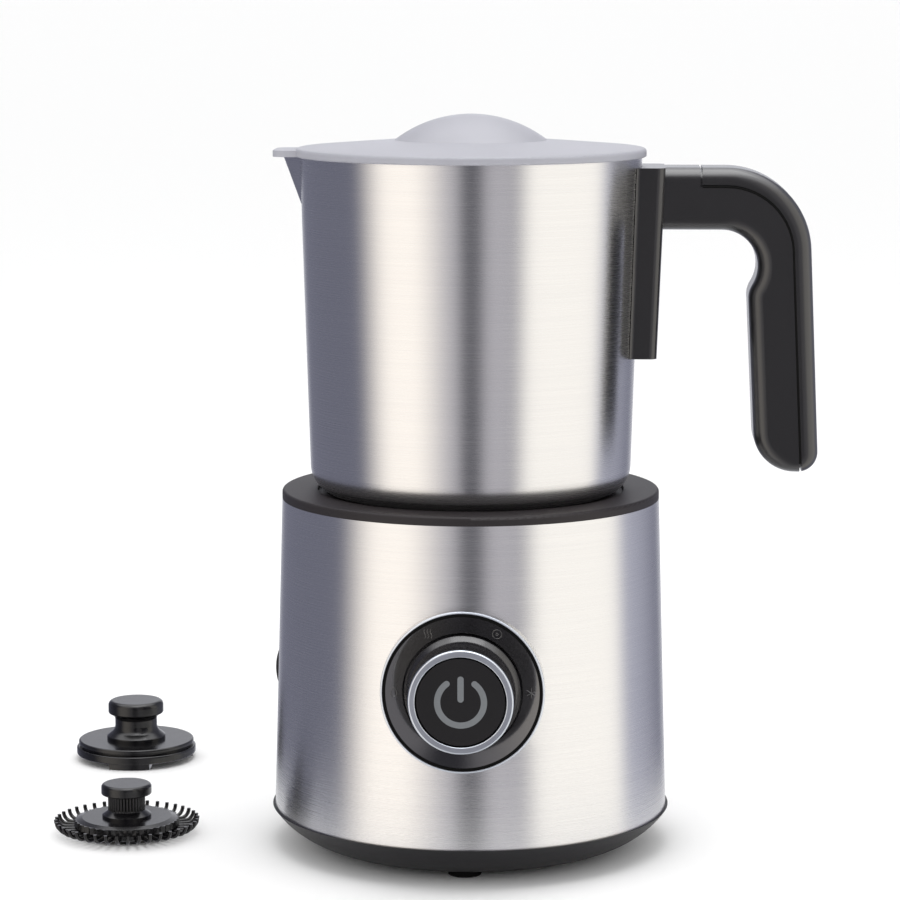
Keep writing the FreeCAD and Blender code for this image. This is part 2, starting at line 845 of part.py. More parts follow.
def magnet_carrier():
    top = cover_underside - carrier_gap
    bottom = top - carrier_thickness
    carrier = turned([
        (0, bottom - carrier_hub_length),
        (carrier_hub_radius, bottom - carrier_hub_length),
        (carrier_hub_radius, bottom),
        (carrier_radius, bottom),
        (carrier_radius, top, soft_edge),
        (0, top),
    ])
    pocket = drum(magnet_radius, top - magnet_depth, top).translated(polar(magnet_circle, 0))
    cuts = around(pocket, 2)
    cuts.append(motor_shaft())
    return carrier.cut(cuts)


def drive_magnets():
    top = cover_underside - carrier_gap
    magnet = drum(magnet_radius, top - magnet_depth, top).translated(polar(magnet_circle, 0))
    return Part.makeCompound(around(magnet, 2))


def induction_coil():
    turns = int((coil_outer - coil_inner) / coil_pitch) + 1
    height = former_top + coil_wire_radius
    rings = []
    for turn in range(turns):
        radius = coil_inner + turn * coil_pitch
        rings.append(Part.makeTorus(radius, coil_wire_radius, Vector(0, 0, height)))
    return Part.makeCompound(rings)


def coil_former():
    radius = coil_outer + former_rim
    hole = carrier_radius + former_hole_gap
    former = tube(radius, hole, former_bottom, former_top)
    leg_circle = radius - former_leg_radius - former_leg_inset
    leg = drum(former_leg_radius, deck_top, former_bottom, polar(leg_circle, 0))
    former = joined(former, around(leg, former_legs, 30))
    sensor_place = polar(carrier_radius + sensor_offset, 90)
    return former.cut(drum(sensor_radius, former_bottom, former_top, sensor_place))


def ferrite_bars():
    half = ferrite_width / 2
    bottom = former_bottom - ferrite_thickness
    bar = block((coil_inner, -half, bottom), (coil_outer, half, former_bottom))
    return Part.makeCompound(around(bar, ferrite_count))


def temperature_sensor():
    place = polar(carrier_radius + sensor_offset, 90)
    return drum(sensor_radius, former_bottom, cover_underside, place)


# --- Main board and fan --------------------------------------------------------------------

def main_board():
    board = drum(board_radius, board_height, board_height + board_thickness)
    hole = drum(screw_radius, board_height, board_height + board_thickness)
    return board.cut(around(hole.translated(polar(pillar_circle, 0)), 4))


def board_screws():
    fastener = screw(board_screw_length, board_height + board_thickness + screw_head_height)
    return Part.makeCompound(around(fastener.translated(polar(pillar_circle, 0)), 4))


def board_capacitor():
    bottom = board_height + board_thickness
    can = turned([
        (0, bottom),
        (capacitor_radius, bottom),
        (capacitor_radius, bottom + capacitor_height, capacitor_edge_radius),
        (0, bottom + capacitor_height),
    ])
    return can.translated(capacitor_place)


def board_heatsink():
    low = heatsink_place + Vector(0, 0, board_height + board_thickness)
    sink = Part.makeBox(heatsink_size, heatsink_size, heatsink_base, low)
    pitch = (heatsink_size - heatsink_fin_thickness) / (heatsink_fins - 1)
    fins = []
    for index in range(heatsink_fins):
        corner = low + Vector(index * pitch, 0, 0)
        fins.append(Part.makeBox(heatsink_fin_thickness, heatsink_size, heatsink_height, corner))
    return joined(sink, fins)


def board_choke():
    height = board_height + board_thickness + choke_wire
    return Part.makeTorus(choke_radius, choke_wire, choke_place + Vector(0, 0, height))


def fan_frame():
    half = fan_size / 2
    frame = block((-half, -half, floor_top), (half, half, floor_top + fan_depth))
    frame = frame.cut(drum(fan_bore_radius, floor_top, floor_top + fan_depth))
    stator_top = floor_top + fan_stator_depth
    width = fan_spoke_width / 2
    spoke = block((0, -width, floor_top), (fan_bore_radius + width / 2, width, stator_top))
    frame = joined(frame, around(spoke, 4, 45) + [drum(fan_stator_radius, floor_top, stator_top)])
    corner = half - fan_screw_inset
    hole = drum(screw_radius, floor_top, floor_top + fan_depth).translated(Vector(corner, corner, 0))
    return frame.cut(around(hole, 4) + [drum(fan_pin_radius + shaft_clearance, floor_top, stator_top)])


def fan_screws():
    corner = fan_size / 2 - fan_screw_inset
    fastener = screw(fan_depth, floor_top + fan_depth + screw_head_height)
    return Part.makeCompound(around(fastener.translated(Vector(corner, corner, 0)), 4))


def fan_impeller():
    bottom = floor_top + fan_stator_depth + fan_play
    top = floor_top + fan_depth - fan_play
    tip = fan_bore_radius - fan_tip_gap
    hub = drum(fan_hub_radius, bottom, top)
    middle = (bottom + top) / 2
    half = fan_blade_thickness / 2
    blade = block((fan_hub_radius - 1, -half, -fan_depth), (tip + 1, half, fan_depth))
    blade = blade.rotated(CENTRE, RIGHT, fan_blade_pitch).translated(Vector(0, 0, middle))
    blade = blade.common(drum(tip, bottom, top))
    fan = joined(hub, around(blade, fan_blades))
    return fan.cut(fan_shaft())


def fan_shaft():
    return drum(fan_pin_radius, floor_top + fan_pin_start, floor_top + fan_depth - fan_pin_end)


# --- Jug and handle --------------------------------------------------------------------

def jug_fill(inset, floor):
    """Filled jug shape with its spout, thinned all round by an inset."""
    corner = jug_corner_radius - inset
    rim = jug_height
    bottom_radius = jug_radius(floor) - inset
    body = turned([(0, floor), (bottom_radius, floor, corner), (jug_rim_radius - inset, rim), (0, rim)])
    beak_bottom = rim - spout_height + inset * 2
    tip = -(jug_rim_radius + spout_reach - inset)
    half_width = spout_half_width - inset
    root = -(jug_rim_radius - 4)
    low_tip = -(jug_radius(beak_bottom) - inset)
    high = spout_outline(tip, root, half_width, rim, spout_tip_radius - inset)
    low = spout_outline(low_tip, low_tip + 1.5, 2.5, beak_bottom, 0.6)
    beak = Part.makeLoft([low, high], True, True)
    return body.fuse(beak)


def spout_outline(tip, root, half_width, height, tip_radius):
    """Level triangle with a rounded point, for one end of the beak."""
    flat = rounded_wire([(root, half_width), (tip, 0, tip_radius), (root, -half_width)])
    flat = flat.rotated(CENTRE, RIGHT, -90)
    return flat.translated(Vector(0, 0, height))


def jug_body():
    return on_jug(jug_fill(0, 0).cut(jug_fill(jug_wall, jug_floor)))


def whisk_spindle():
    pin = turned([
        (0, jug_floor),
        (spindle_flange_radius, jug_floor),
        (spindle_flange_radius, jug_floor + spindle_flange_height, fine_edge),
        (spindle_radius, jug_floor + spindle_flange_height),
        (spindle_radius, jug_floor + spindle_length, soft_edge),
        (0, jug_floor + spindle_length),
    ])
    return on_jug(pin)


def grip_solid(inset):
    """Arm and grip, as one bar of even width, thinned all round by an inset."""
    corners = [(jug_rim_radius - 2, arm_top)]
    for out, down, radius in grip_outline:
        corners.append((jug_rim_radius + out, arm_top - down, radius))
    corners.append((jug_rim_radius - 2, arm_top - arm_depth))
    wire = rounded_wire(corners)
    if inset:
        wire = wire.makeOffset2D(-inset)
    half = handle_width / 2 - inset
    bar = Part.Face(wire).extrude(Vector(0, 2 * half, 0)).translated(Vector(0, -half, 0))
    side_edges = []
    for face in bar.Faces:
        if abs(abs(face.CenterOfMass.y) - half) < TOLERANCE:
            side_edges += face.Edges
    return bar.makeFillet(handle_edge_radius - inset, side_edges)


def strip_zone(shift):
    """Everything outside the cover strip's seam, moved outwards by a shift."""
    depth = cover_strip - shift
    top_out, top_down, top_radius = grip_outline[0]
    end_out, end_down, _ = grip_outline[1]
    below = 60
    lean = (end_out - top_out) / (end_down - top_down)
    low = jug_rim_radius + end_out + lean * below - depth
    inner = slab([
        (jug_rim_radius - 30, arm_top - depth),
        (jug_rim_radius + top_out - depth, arm_top - depth, top_radius - depth),
        (low, arm_top - end_down - below),
        (jug_rim_radius - 30, arm_top - end_down - below),
    ], handle_width)
    start = jug_rim_radius + seam_out + shift
    zone = block((start, -handle_width, arm_top - end_down - below / 2),
                 (jug_rim_radius + end_out + 20, handle_width, arm_top + 20))
    return zone.cut(inner)


def seam_groove():
    """Shallow groove that runs along the seam on the handle's outside."""
    band = strip_zone(-seam_gap / 2).cut(strip_zone(seam_gap / 2))
    return band.cut(grip_solid(seam_depth))


def bracket_solid(grow):
    """Steel tongue that holds the handle, with its plate against the jug's wall."""
    middle = arm_top - bracket_drop
    half = bracket_thickness / 2 + grow
    width = bracket_half_width + grow
    end = jug_rim_radius + bracket_reach + grow
    inside = jug_rim_radius - 4
    tongue = block((inside, -width, middle - half), (end, width, middle + half))
    plate_top = middle + half
    plate_bottom = arm_top - mount_length + 12 - grow
    plate_face = jug_rim_radius + bracket_thickness + mount_wall_gap + grow
    plate = block((inside, -width, plate_bottom), (plate_face, width, plate_top))
    return tongue.fuse(plate).removeSplitter()


def wall_cut(gap):
    """Filled cone of the jug's wall where the handle stands, grown by a gap."""
    cone = Part.makeCone(jug_base_radius + gap, jug_rim_radius + gap, jug_height)
    return on_jug(cone)


def mount_section(stand, height):
    """Level cross-section of the mount: narrow face, flanks flaring to the wall."""
    wall = jug_radius(height - seat_height)
    half = mount_half_width
    wide = mount_flank_half_width
    corners = [
        (wall + stand, half, mount_edge_radius),
        (wall - flank_root, half, flank_root),
        (wall - flank_toe, wide),
        (wall - mount_depth, wide),
        (wall - mount_depth, -wide),
        (wall - flank_toe, -wide),
        (wall - flank_root, -half, flank_root),
        (wall + stand, -half, mount_edge_radius),
    ]
    flat = rounded_wire(corners).rotated(CENTRE, RIGHT, -90)
    return flat.translated(Vector(0, 0, height))


def mount_shield():
    """Outline of the mount seen from the handle's side, with its lower corners rounded."""
    bottom = arm_top - mount_length
    wide = mount_flank_half_width
    corners = [(-wide, bottom, mount_corner_radius), (wide, bottom, mount_corner_radius)]
    corners += [(wide, arm_top), (-wide, arm_top)]
    reach = jug_rim_radius + mount_stand_top
    return slab(corners, reach).rotated(CENTRE, UP, 90)


def handle_screw_places():
    first = jug_rim_radius + seam_out + handle_screw_margin
    return [Vector(first + index * handle_screw_pitch, 0, 0) for index in range(2)]


def handle_core():
    mount = Part.makeLoft([
        mount_section(mount_stand_bottom, arm_top - mount_length),
        mount_section(mount_stand_top, arm_top),
    ], True, True).common(mount_shield())
    core = grip_solid(0).cut(strip_zone(0)).fuse(mount).removeSplitter()
    head_top = arm_top - cover_strip - handle_screw_sink
    cuts = [wall_cut(mount_wall_gap), seam_groove(), bracket_solid(bracket_clearance), cover_screw()]
    head_bottom = head_top - screw_head_height
    for place in handle_screw_places():
        head_bore = screw_head_radius + shell_clearance
        cuts.append(drum(head_bore, head_bottom, arm_top - cover_strip + gap, place))
        cuts.append(drum(screw_radius, head_bottom - handle_screw_length, head_top, place))
    return core.cut(cuts)


def handle_cover():
    strip = grip_solid(0).common(strip_zone(0))
    return strip.cut([seam_groove(), cover_screw()])


def handle_bracket():
    bracket = bracket_solid(0)
    cuts = [drum(screw_radius, 0, arm_top, place) for place in handle_screw_places()]
    cuts.append(wall_cut(mount_wall_gap))
    return bracket.cut(cuts)


def handle_screws():
    fastener = screw(handle_screw_length, arm_top - cover_strip - handle_screw_sink)
    return Part.makeCompound([fastener.translated(place) for place in handle_screw_places()])


def cover_screw():
    height = arm_top - 72
    head_face = jug_rim_radius + grip_outline[2][0] + 1.8
    length = grip_outline[1][0] - grip_outline[2][0] - cover_strip / 2 - 4
    fastener = screw(length, 0).rotated(CENTRE, Vector(0, 1, 0), -90)
    return fastener.translated(Vector(head_face, 0, height))


# --- Lid ---------------------------------------------------------------------------------

def dome_corner(radius, height):
    """Radius of a shallow dome and where the tangents at its foot and top meet."""
    sphere = (radius ** 2 + height ** 2) / (2 * height)
    return sphere, sphere * math.tan(math.asin(radius / sphere) / 2)


def lid_shell():
    rim = jug_height
    flange = jug_rim_radius + lid_overhang
    edge_top = rim + lid_flange_height
    dome_foot = edge_top + lid_cone_rise
    dome_top = dome_foot + lid_dome_height
    outside, outside_corner = dome_corner(lid_dome_radius, lid_dome_height)
    inside, inside_corner = dome_corner(lid_dome_radius - lid_wall, lid_dome_height - 0.5)
    skirt = jug_rim_radius - jug_wall - lid_skirt_gap
    inner_skirt = skirt - lid_skirt_wall
    underside = dome_foot - lid_wall
    groove_top = rim - lid_skirt_depth + 1.5 + seal_height
    groove_bottom = rim - lid_skirt_depth + 1.5
    lid = turned([
        (0, dome_top),
        (outside_corner, dome_top, outside),
        (lid_dome_radius, dome_foot),
        (flange, edge_top, 1.0),
        (flange, rim, 0.4),
        (skirt, rim),
        (skirt, groove_top),
        (skirt - seal_groove, groove_top),
        (skirt - seal_groove, groove_bottom),
        (skirt, groove_bottom),
        (skirt, rim - lid_skirt_depth, 0.4),
        (inner_skirt, rim - lid_skirt_depth, 0.4),
        (inner_skirt, edge_top - lid_wall, 1.0),
        (lid_dome_radius - lid_wall, underside),
        (inside_corner, dome_top - lid_wall - 0.5, inside),
        (0, dome_top - lid_wall - 0.5),
    ])
    tab_end = -(flange + lid_tab_reach)
    half = lid_tab_half_width
    tab = rounded_wire([
        (-(flange - 6), half),
        (tab_end, half, lid_tab_radius),
        (tab_end, -half, lid_tab_radius),
        (-(flange - 6), -half),
    ])
    tab = Part.Face(tab.rotated(CENTRE, RIGHT, -90)).extrude(Vector(0, 0, lid_tab_height))
    tab = tab.translated(Vector(0, 0, rim)).cut(drum(skirt, rim - 1, edge_top))
    return on_jug(lid.fuse(tab).removeSplitter())


def lid_seal():
    skirt = jug_rim_radius - jug_wall - lid_skirt_gap
    bottom = jug_height - lid_skirt_depth + 1.5
    inner = skirt - seal_groove
    outer = jug_radius(bottom) - jug_wall - seal_gap
    middle = bottom + seal_height / 2
    ring = turned([
        (inner, bottom),
        (skirt, bottom),
        (outer, middle, 0.4),
        (skirt, bottom + seal_height),
        (inner, bottom + seal_height),
    ])
    return on_jug(ring)


# --- Whisks ----------------------------------------------------------------------------

def bush_radius():
    return spindle_radius + bore_clearance + bush_wall


def whisk_bush():
    return tube(bush_radius(), spindle_radius + bore_clearance, 0, bush_length)


def whisk_bore(top):
    """Room for the bush, with its running clearance, closed above."""
    return drum(bush_radius() + bore_clearance, -1, top)


def whisk_magnets(bottom):
    magnet = drum(whisk_magnet_radius, bottom, bottom + whisk_magnet_depth)
    return around(magnet.translated(polar(whisk_magnet_circle, 90)), 2)


def froth_disc():
    shoulder = froth_disc_top - froth_shoulder
    valley = froth_disc_radius - froth_tooth_depth
    disc = star(froth_disc_radius, valley, froth_teeth, froth_disc_bottom, shoulder)
    top_radius = valley - froth_shoulder_width
    top = turned([(0, shoulder), (valley, shoulder), (top_radius, froth_disc_top), (0, froth_disc_top)])
    hub = drum(froth_hub_radius, 0, froth_disc_bottom)
    disc = joined(hub, [disc, top])
    return disc.cut(whisk_magnets(whisk_magnet_cover) + [whisk_bore(froth_disc_top)])


def froth_fingers():
    ring_radius = froth_disc_radius - finger_ring_overlap
    ring_bottom = finger_height - finger_ring_drop
    ring = tube(ring_radius, froth_hub_radius, ring_bottom, froth_disc_bottom)
    bend = finger_tip - finger_bend_radius
    corner = finger_bend_radius * math.sqrt(0.5)
    start = Vector(finger_root, 0, finger_height)
    bend_start = Vector(bend, 0, finger_height)
    bend_middle = Vector(bend + corner, 0, finger_height + finger_bend_radius - corner)
    bend_end = Vector(finger_tip, 0, finger_height + finger_bend_radius)
    tip = Vector(finger_tip, 0, finger_height + finger_rise)
    path = Part.Wire([
        Part.LineSegment(start, bend_start).toShape(),
        Part.Arc(bend_start, bend_middle, bend_end).toShape(),
        Part.LineSegment(bend_end, tip).toShape(),
    ])
    section = Part.Wire(Part.makeCircle(finger_radius, start, RIGHT))
    finger = path.makePipeShell([section], True, False)
    return joined(ring, around(finger, froth_teeth))


def froth_cap():
    bottom = froth_disc_top
    top = bottom + froth_cap_height
    head = top - froth_head_height
    core = turned([
        (0, bottom),
        (froth_cap_flare, bottom),
        (froth_cap_flare, bottom + froth_cap_lip),
        (froth_cap_neck, bottom + froth_cap_cone, froth_head_radius),
        (froth_cap_neck, head - froth_head_taper),
        (froth_cap_radius, head, small_edge),
        (froth_cap_radius, top, froth_head_radius),
        (0, top),
    ])
    ribbed = star(froth_cap_neck + rib_depth, froth_cap_neck, froth_ribs, bottom, head)
    return joined(core, [ribbed]).cut(whisk_bore(bush_length + bore_headroom))


def stir_disc():
    lower_top = stir_lobe_height + stir_lower_thickness
    upper_bottom = lower_top + stir_groove
    top = upper_bottom + stir_upper_thickness
    disc = turned([
        (0, stir_lobe_height),
        (stir_lower_radius, stir_lobe_height, soft_edge),
        (stir_lower_radius, lower_top, soft_edge),
        (stir_upper_radius - stir_neck_inset, lower_top),
        (stir_upper_radius - stir_neck_inset, upper_bottom),
        (stir_upper_radius, upper_bottom, fine_edge),
        (stir_upper_radius, top, soft_edge),
        (0, top),
    ])
    half = stir_lobe_width / 2
    lobe_root = stir_lower_radius - stir_lobe_reach
    lobe = block((lobe_root, -half, 0), (stir_lower_radius, half, stir_lobe_height))
    lobe = lobe.common(drum(stir_lower_radius - stir_lobe_margin, 0, stir_lobe_height))
    hub = drum(bush_radius() + stir_hub_wall, 0, stir_lobe_height)
    disc = joined(disc, around(lobe, stir_lobes, stir_lobe_turn) + [hub])
    return disc.cut(whisk_magnets(stir_lobe_height) + [whisk_bore(top)])


def stir_cap():
    foot = stir_lobe_height + stir_lower_thickness + stir_groove + stir_upper_thickness
    top = foot + stir_cap_height
    cap = turned([
        (0, foot),
        (stir_cap_flare, foot),
        (stir_cap_flare, foot + stir_cap_lip, small_edge),
        (stir_cap_neck, foot + stir_cap_cone, 3),
        (stir_cap_neck, top - stir_head_height - stir_head_taper, 2),
        (stir_cap_radius, top - stir_head_height, soft_edge),
        (stir_cap_radius, top, 1.6),
        (0, top),
    ])
    return cap.cut(whisk_bore(bush_length + bore_headroom))


def write(name, shape):
    shape.exportStep("parts/" + name + ".step")


os.makedirs("parts", exist_ok=True)
base_pieces = (
    base_feet, bottom_tray, tray_screws, base_shell, top_cover, cover_screws, chassis, cord_gland,
    dock_cap, dock_magnet, control_bezel, bezel_trim, control_bracket, control_board, tact_switch,
    dial_knob, dial_trim, dial_magnet, power_button, power_symbol, button_spring, motor_can,
    motor_bearings, motor_screws, motor_shaft, motor_armature, magnet_carrier, drive_magnets,
    induction_coil, coil_former, ferrite_bars, temperature_sensor, main_board, board_screws,
    board_capacitor, board_heatsink, board_choke, fan_frame, fan_screws, fan_impeller, fan_shaft,
)
jug_pieces = (
    jug_body, whisk_spindle, handle_core, handle_cover, handle_bracket, handle_screws, cover_screw,
    lid_shell, lid_seal,
)
for piece in base_pieces + jug_pieces:
    write(piece.__name__, piece())
write("froth_bush", whisk_bush().translated(froth_place))
write("froth_magnets", Part.makeCompound(whisk_magnets(whisk_magnet_cover)).translated(froth_place))
for piece in (froth_disc, froth_fingers, froth_cap):
    write(piece.__name__, piece().translated(froth_place))
write("stir_bush", whisk_bush().translated(stir_place))
write("stir_magnets", Part.makeCompound(whisk_magnets(stir_lobe_height)).translated(stir_place))
for piece in (stir_disc, stir_cap):
    write(piece.__name__, piece().translated(stir_place))
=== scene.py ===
import json
import math

import bmesh
import bpy
from mathutils import Matrix, Vector
from mathutils.bvhtree import BVHTree


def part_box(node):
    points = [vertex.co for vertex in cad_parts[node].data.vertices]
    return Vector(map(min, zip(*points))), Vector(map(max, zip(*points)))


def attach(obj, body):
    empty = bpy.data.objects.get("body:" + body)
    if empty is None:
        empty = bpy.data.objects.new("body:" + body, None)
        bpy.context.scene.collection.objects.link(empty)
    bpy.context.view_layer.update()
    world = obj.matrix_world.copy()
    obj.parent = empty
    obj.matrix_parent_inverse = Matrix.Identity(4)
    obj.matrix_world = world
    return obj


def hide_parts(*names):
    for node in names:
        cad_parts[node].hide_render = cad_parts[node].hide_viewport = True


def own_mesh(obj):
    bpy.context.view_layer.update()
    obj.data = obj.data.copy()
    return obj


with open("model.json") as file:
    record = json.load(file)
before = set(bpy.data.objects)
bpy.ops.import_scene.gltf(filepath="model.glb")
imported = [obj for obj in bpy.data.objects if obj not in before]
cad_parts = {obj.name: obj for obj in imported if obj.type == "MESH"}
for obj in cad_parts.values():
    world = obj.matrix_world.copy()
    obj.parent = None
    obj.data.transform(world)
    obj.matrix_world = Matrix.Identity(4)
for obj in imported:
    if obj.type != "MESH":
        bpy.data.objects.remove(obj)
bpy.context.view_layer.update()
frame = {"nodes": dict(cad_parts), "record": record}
nodes = frame["nodes"]
MM = 0.001


# --- Shader sums written as expressions --------------------------------------------------

class Value:
    """A number that varies over a surface. Sums on it add Math nodes."""

    def __init__(self, graph, socket):
        self.graph = graph
        self.socket = socket

    def sum(self, operation, *terms):
        return self.graph.node("ShaderNodeMath", {"operation": operation}, dict(enumerate(terms)))

    def __add__(self, other):
        return self.sum("ADD", self, other)

    __radd__ = __add__

    def __sub__(self, other):
        return self.sum("SUBTRACT", self, other)

    def __rsub__(self, other):
        return self.sum("SUBTRACT", other, self)

    def __mul__(self, other):
        return self.sum("MULTIPLY", self, other)

    __rmul__ = __mul__

    def __abs__(self):
        return self.sum("ABSOLUTE", self)


class Graph:
    """A node tree that is filled by naming nodes, their settings and their inputs."""

    def __init__(self, tree):
        self.tree = tree

    def node(self, kind, settings=None, inputs=None, output=0):
        made = self.tree.nodes.new(kind)
        for name, setting in (settings or {}).items():
            setattr(made, name, setting)
        for name, value in (inputs or {}).items():
            self.feed(made.inputs[name], value)
        return Value(self, made.outputs[output])

    def feed(self, socket, value):
        if isinstance(value, Value):
            self.tree.links.new(value.socket, socket)
        else:
            socket.default_value = value

    def noise(self, where, scale, detail=2.0, roughness=0.5):
        sockets = {"Vector": where, "Scale": scale, "Detail": detail, "Roughness": roughness}
        return self.node("ShaderNodeTexNoise", {}, sockets)

    def stretched(self, where, scale):
        return self.node("ShaderNodeMapping", {}, {"Vector": where, "Scale": scale})

    def ramp(self, value, low, high):
        """Smooth step of a value, 0 at low and 1 at high."""
        sockets = {"Value": value, "From Min": low, "From Max": high}
        return self.node("ShaderNodeMapRange", {"interpolation_type": "SMOOTHSTEP"}, sockets)

    def blend(self, share, first, second):
        """Colour between two colours."""
        sockets = {0: share, 6: first, 7: second}
        return self.node("ShaderNodeMix", {"data_type": "RGBA"}, sockets, 2)

    def bump(self, height, depth, strength):
        sockets = {"Height": height, "Distance": depth, "Strength": strength}
        return self.node("ShaderNodeBump", {}, sockets)


class Paint(Graph):
    """A material: a graph with one Principled surface."""

    def __init__(self, name, **constants):
        self.material = bpy.data.materials.new(name)
        self.material.use_nodes = True
        super().__init__(self.material.node_tree)
        self.surface = self.tree.nodes["Principled BSDF"]
        self.place = self.node("ShaderNodeTexCoord", {}, {}, "Object")
        for socket, value in constants.items():
            self.set(socket.replace("_", " "), value)

    def set(self, socket, value):
        self.feed(self.surface.inputs[socket], value)


def grey(level, warmth=0.0):
    return (level * (1 + warmth), level, level * (1 - warmth), 1.0)


def ink(level, warmth=0.0):
    """Near black with the faint violet of moulded black plastic."""
    return (level * (1.04 + warmth), level * 0.97, level * (1.14 - warmth), 1.0)


# --- Finishes ------------------------------------------------------------------------------

def brushed_steel():
    """Stainless sheet brushed around its axis: fine level streaks, broader bands, soft smudges."""
    paint = Paint("brushed_steel", Metallic=1.0, Anisotropic=0.75, Anisotropic_Rotation=0.25)
    hairs = paint.noise(paint.stretched(paint.place, (24, 24, 7500)), 1.0, 2.0)
    bands = paint.noise(paint.stretched(paint.place, (9, 9, 1500)), 1.0, 3.0)
    smudges = paint.noise(paint.place, 22.0, 2.0)
    tone = hairs * 0.75 + bands * 0.25
    paint.set("Base Color", paint.blend(tone, (0.56, 0.56, 0.575, 1), (0.71, 0.705, 0.7, 1)))
    paint.set("Roughness", 0.2 + hairs * 0.1 + smudges * 0.05)
    paint.set("Normal", paint.bump(hairs, 0.00003, 0.3))
    return paint.material


def turned_steel(name, level, rough):
    """Machined steel: rings too fine to count, with slight stain."""
    paint = Paint(name, Metallic=1.0)
    rings = paint.noise(paint.stretched(paint.place, (60, 60, 3000)), 1.0, 2.0)
    stain = paint.noise(paint.place, 90.0, 3.0)
    paint.set("Base Color", paint.blend(stain, grey(level * 0.8), grey(level, 0.02)))
    paint.set("Roughness", rough + rings * 0.12)
    paint.set("Normal", paint.bump(rings, 0.00003, 0.4))
    return paint.material


def moulding(name, dark, light, rough, grain, depth, shade=ink, warmth=0.0, **constants):
    """Moulded plastic: spark-eroded grain, slight flow clouds in its colour and gloss."""
    paint = Paint(name, **constants)
    clouds = paint.noise(paint.place, 35.0, 3.0)
    pits = paint.noise(paint.place, grain, 2.0, 0.6)
    mottle = clouds * 0.6 + pits * 0.4
    paint.set("Base Color", paint.blend(mottle, shade(dark, warmth), shade(light, warmth)))
    paint.set("Roughness", rough + clouds * 0.08 + pits * 0.08)
    paint.set("Normal", paint.bump(pits, depth, 0.6))
    return paint.material


def plated(name, colour, rough):
    """Bright plating with faint ripples."""
    paint = Paint(name, Metallic=1.0)
    ripples = paint.noise(paint.place, 320.0, 2.0)
    haze = paint.noise(paint.place, 60.0, 2.0)
    deep = tuple(channel * 0.85 for channel in colour[:3]) + (1.0,)
    paint.set("Base Color", paint.blend(haze, deep, colour))
    paint.set("Roughness", rough + haze * 0.08)
    paint.set("Normal", paint.bump(ripples, 0.00002, 0.3))
    return paint.material


def frosted_lid():
    """Translucent moulding, frosted all over."""
    paint = Paint("lid_frosted", Transmission_Weight=0.35, IOR=1.45, Specular_IOR_Level=0.5)
    clouds = paint.noise(paint.place, 28.0, 3.0)
    frost = paint.noise(paint.place, 2600.0, 1.0)
    paint.set("Base Color", paint.blend(clouds, (0.5, 0.5, 0.55, 1), (0.57, 0.57, 0.62, 1)))
    paint.set("Roughness", 0.34 + clouds * 0.06 + frost * 0.1)
    paint.set("Normal", paint.bump(frost, 0.00003, 0.4))
    return paint.material


def clear_silicone():
    paint = Paint("seal_silicone", Transmission_Weight=0.3, IOR=1.41)
    clouds = paint.noise(paint.place, 120.0, 2.0)
    paint.set("Base Color", paint.blend(clouds, grey(0.6), grey(0.74)))
    paint.set("Roughness", 0.4 + clouds * 0.15)
    return paint.material


def rubber(name, level):
    paint = Paint(name, Specular_IOR_Level=0.1)
    grain = paint.noise(paint.place, 1400.0, 3.0)
    dust = paint.noise(paint.place, 70.0, 3.0)
    paint.set("Base Color", paint.blend(dust, grey(level * 0.7), grey(level)))
    paint.set("Roughness", 0.62 + grain * 0.2)
    paint.set("Normal", paint.bump(grain, 0.00008, 0.5))
    return paint.material


def copper_wire():
    paint = Paint("copper_wire", Metallic=1.0, Coat_Weight=0.6, Coat_Roughness=0.15)
    strands = paint.noise(paint.stretched(paint.place, (500, 500, 2500)), 1.0, 2.0)
    paint.set("Base Color", paint.blend(strands, (0.52, 0.2, 0.09, 1), (0.85, 0.42, 0.22, 1)))
    paint.set("Roughness", 0.25 + strands * 0.2)
    paint.set("Normal", paint.bump(strands, 0.0001, 0.5))
    return paint.material


def circuit_board():
    paint = Paint("board_green", Coat_Weight=0.3, Coat_Roughness=0.2)
    sockets = {"Vector": paint.place, "Scale": 260.0}
    tracks = paint.node("ShaderNodeTexVoronoi", {"distance": "MANHATTAN"}, sockets)
    mask = paint.ramp(tracks, 0.35, 0.45)
    paint.set("Base Color", paint.blend(mask, (0.012, 0.1, 0.035, 1), (0.03, 0.2, 0.08, 1)))
    paint.set("Roughness", 0.35 + mask * 0.15)
    return paint.material


